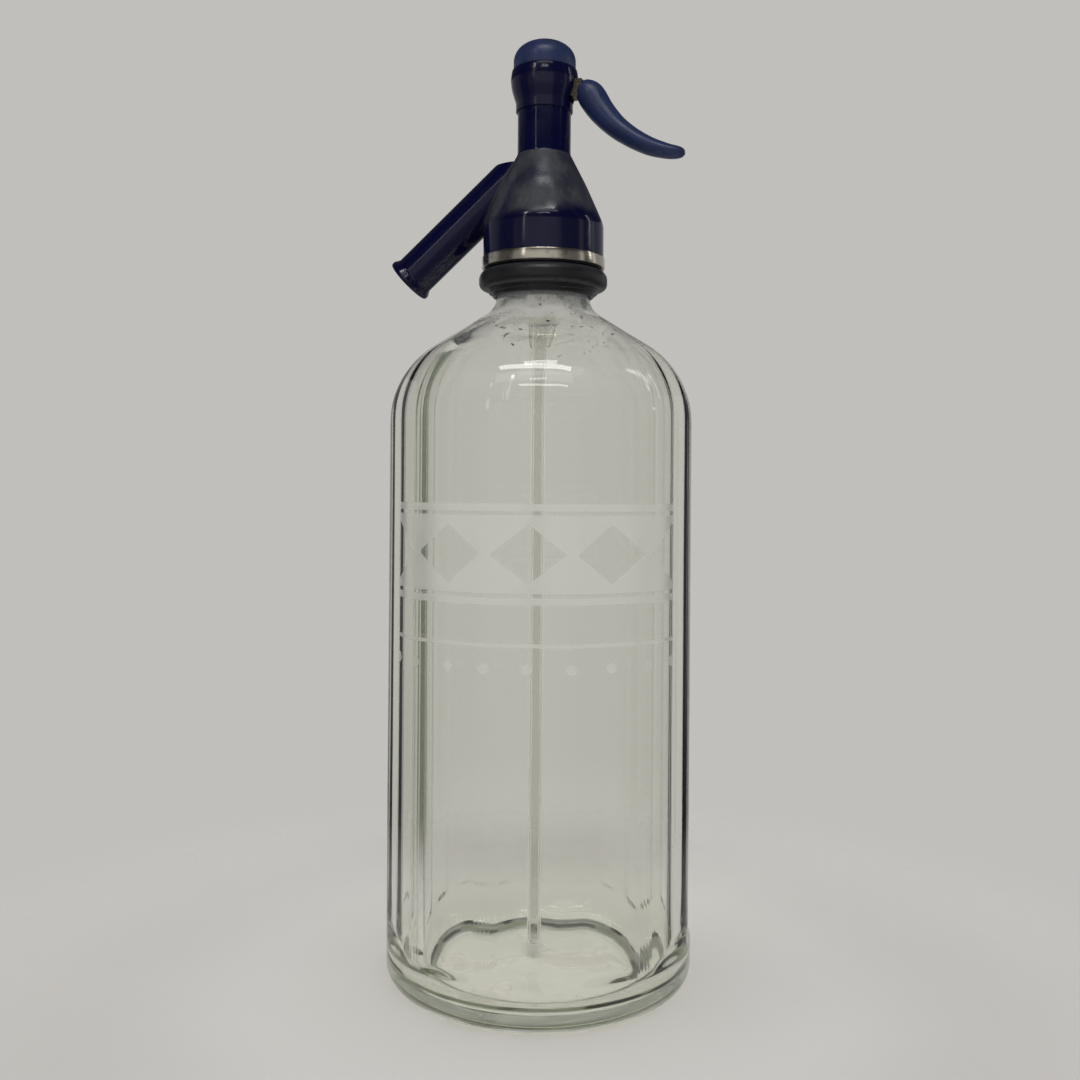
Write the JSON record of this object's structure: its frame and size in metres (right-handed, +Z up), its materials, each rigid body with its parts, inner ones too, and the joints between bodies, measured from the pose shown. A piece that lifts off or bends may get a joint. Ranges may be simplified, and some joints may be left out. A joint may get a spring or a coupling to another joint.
{
  "type": "soda siphon",
  "caption": "Glass soda siphon: panelled bottle, dip tube, plastic head with slanted spout, and a curved lever that lifts a sprung valve.",
  "frame": {"origin": "on the bottle's axis, at the surface that it stands on", "axes": "+Z up along the bottle's axis; +X is the way the lever's grip reaches; the spout points along -X and down; the lever turns about Y"},
  "size_m": [0.1042, 0.1014, 0.3124],
  "materials": {
    "bottle_glass": "clear, slightly green, thick",
    "tube_glass": "clear",
    "casing_plastic": "navy, glossy, scuffed dull on the cone",
    "cap_plastic": "mid blue, satin gloss",
    "grip_plastic": "mid blue, satin gloss",
    "collar_plastic": "black, slightly worn",
    "bush_plastic": "dark brown-black",
    "holder_plastic": "translucent off-white",
    "band_nickel": "nickel plate, fine turned marks",
    "arm_metal": "worn nickel on brass",
    "brass": "turned",
    "steel": "drawn wire and ground rod",
    "rubber": "matt black"
  },
  "bodies": {
    "root": {"bottle": "bottle_glass", "dip_tube": "tube_glass", "bottle_seal": "rubber", "split_bush_front": "bush_plastic", "split_bush_back": "bush_plastic", "clamp_collar": "collar_plastic", "tube_gland": "rubber", "tube_holder": "holder_plastic", "head_casing": "casing_plastic", "skirt_band": "band_nickel", "spout": "casing_plastic", "spout_seal": "rubber", "valve_seat": "brass", "spindle_seal": "rubber", "gland_nut": "brass", "pivot_block": "brass", "lever_pin": "steel", "return_spring": "steel", "dome_cap": "cap_plastic"},
    "lever": {"lever_arm": "arm_metal", "lever_grip": "grip_plastic"},
    "plunger": {"spindle": "steel", "valve_washer": "rubber", "valve_cup": "brass", "cup_screw": "brass"}
  },
  "joints": [
    {"name": "lever_pivot", "type": "hinge", "parent": "root", "child": "lever", "pos_m": [0.006, 0, 0.296], "axis": [0, 1, 0], "range_deg": [0, 16], "stiffness_Nm_per_rad": 0.09, "springref_deg": -38.22},
    {"name": "plunger_lift", "type": "slide", "parent": "root", "child": "plunger", "axis": [0, 0, 1], "range_m": [0, 0.0017], "deforming": ["return_spring"]}
  ],
  "couplings": [
    {"joint": "plunger_lift", "follows": "lever_pivot", "m_per_rad": 0.006}
  ]
}
